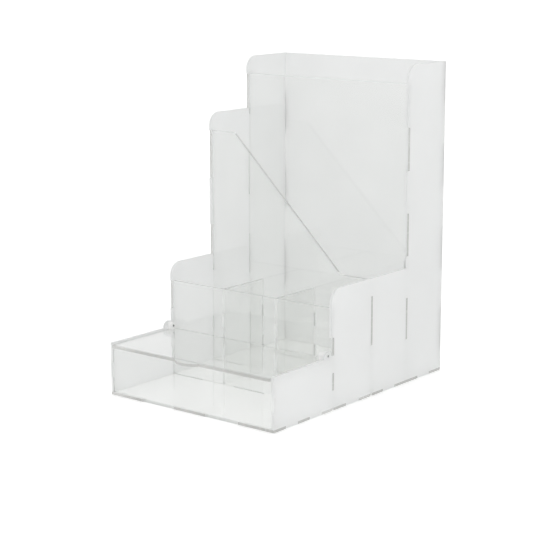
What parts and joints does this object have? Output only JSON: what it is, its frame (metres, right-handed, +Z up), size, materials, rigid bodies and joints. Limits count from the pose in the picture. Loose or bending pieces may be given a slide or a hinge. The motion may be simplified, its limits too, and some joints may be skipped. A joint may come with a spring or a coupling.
{
  "type": "desk organizer",
  "caption": "Stepped acrylic desk organizer with a hinged clear lid over the front box, divided pen cells, and two upright slots for folders and papers.",
  "frame": {"origin": "centre of the base panel's underside, which stands on the desk", "axes": "+Z up, +X to the right seen from the front, +Y towards the tall back"},
  "size_m": [0.225, 0.3163, 0.351],
  "materials": {
    "white_acrylic": "smooth milky white sheet with polished edges",
    "clear_acrylic": "clear cast sheet with flame-polished edges",
    "steel_pin": "plain drawn steel"
  },
  "bodies": {
    "body": {"base_panel": "clear_acrylic", "left_side_panel": "white_acrylic", "right_side_panel": "white_acrylic", "back_panel": "white_acrylic", "box_front_panel": "clear_acrylic", "pen_front_panel": "clear_acrylic", "folder_front_panel": "clear_acrylic", "document_front_panel": "clear_acrylic", "pen_divider_left": "clear_acrylic", "pen_divider_right": "clear_acrylic"},
    "lid": {"lid_panel": "clear_acrylic", "lid_hinge_knuckle_left": "clear_acrylic", "lid_hinge_knuckle_right": "clear_acrylic", "lid_hinge_pin_left": "steel_pin", "lid_hinge_pin_right": "steel_pin"}
  },
  "joints": [
    {"name": "lid_hinge", "type": "hinge", "parent": "body", "child": "lid", "pos_m": [0, -0.0615, 0.0605], "axis": [-1, 0, 0], "range_deg": [0, 100]}
  ]
}
